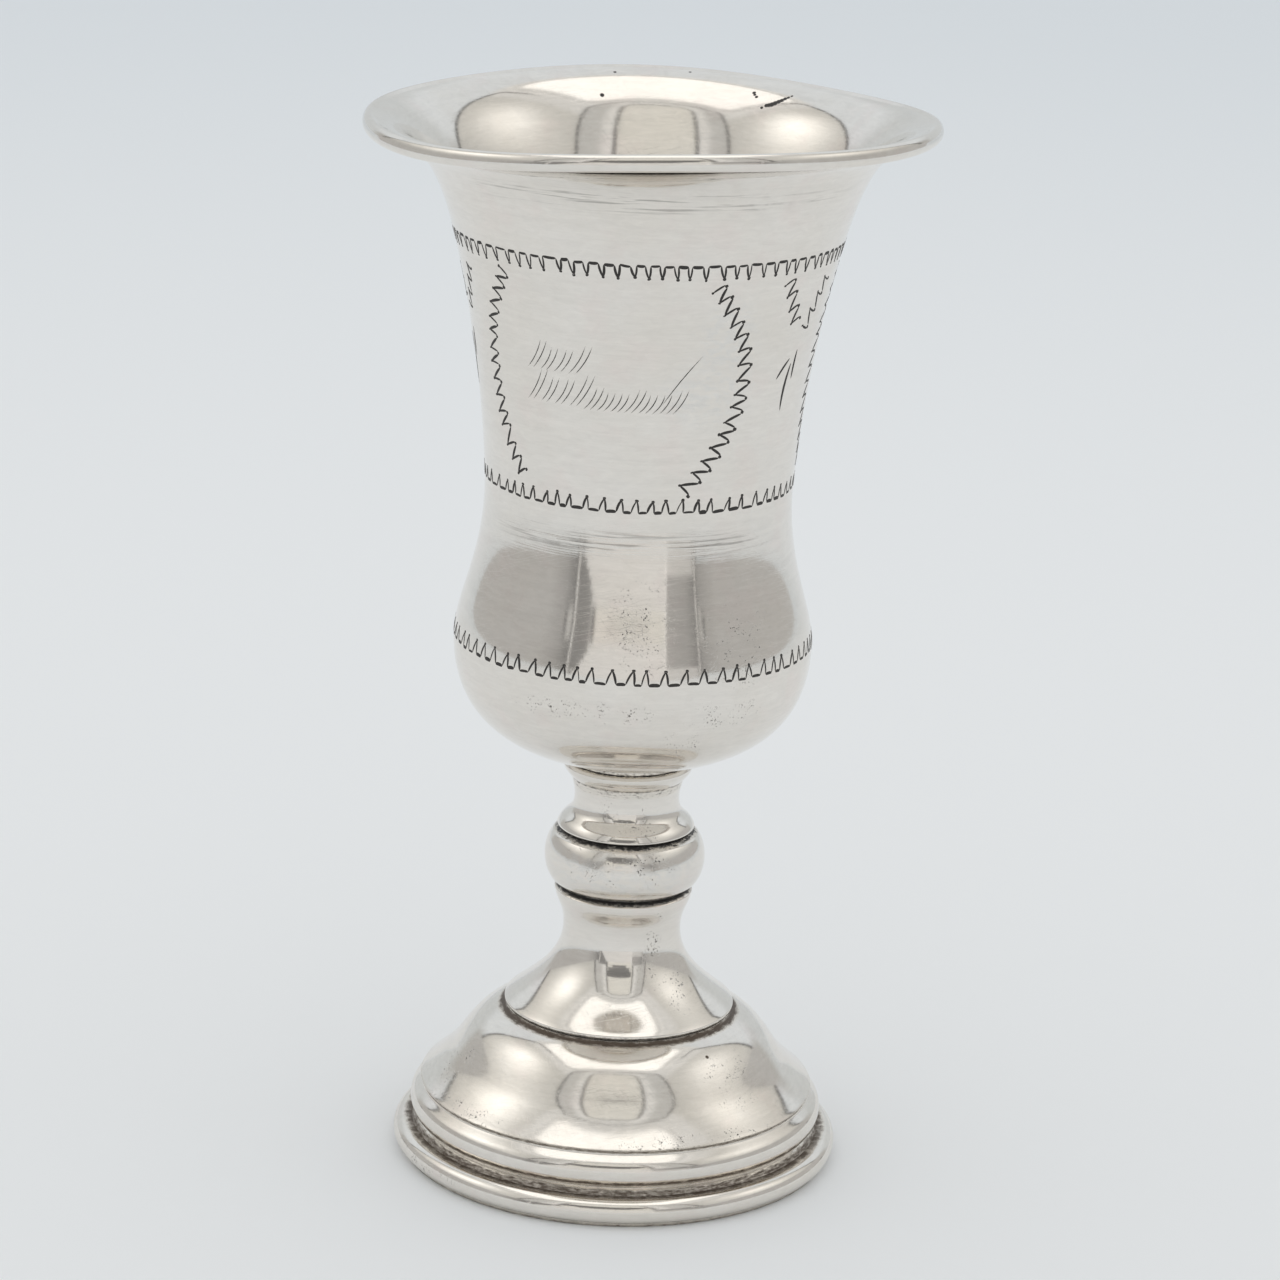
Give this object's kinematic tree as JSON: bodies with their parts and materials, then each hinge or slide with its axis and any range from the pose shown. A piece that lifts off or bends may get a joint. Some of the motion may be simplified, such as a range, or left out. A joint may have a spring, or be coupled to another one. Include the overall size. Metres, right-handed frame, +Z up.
{
  "type": "kiddush cup",
  "caption": "Silver wine goblet for the kiddush blessing, with a waisted, flaring engraved bowl on a knopped stem and a domed foot with a rolled rim.",
  "frame": {"origin": "centre of the underside of the foot rim, on the cup's axis", "axes": "+Z up along the cup's axis, +X to the right and -Y towards the engraved front panel"},
  "size_m": [0.0696, 0.0696, 0.133],
  "materials": {
    "bowl_silver": "polished silver, finely scratched, with tarnish left in the engraved cuts",
    "stem_silver": "polished silver with tarnish in the grooves",
    "foot_silver": "polished silver, pitted and scratched, with brown dirt in the recess above the rim"
  },
  "bodies": {
    "root": {"bowl": "bowl_silver", "stem_collar": "stem_silver", "knop": "stem_silver", "pedestal": "stem_silver", "foot": "foot_silver", "foot_rim": "foot_silver"}
  },
  "joints": []
}
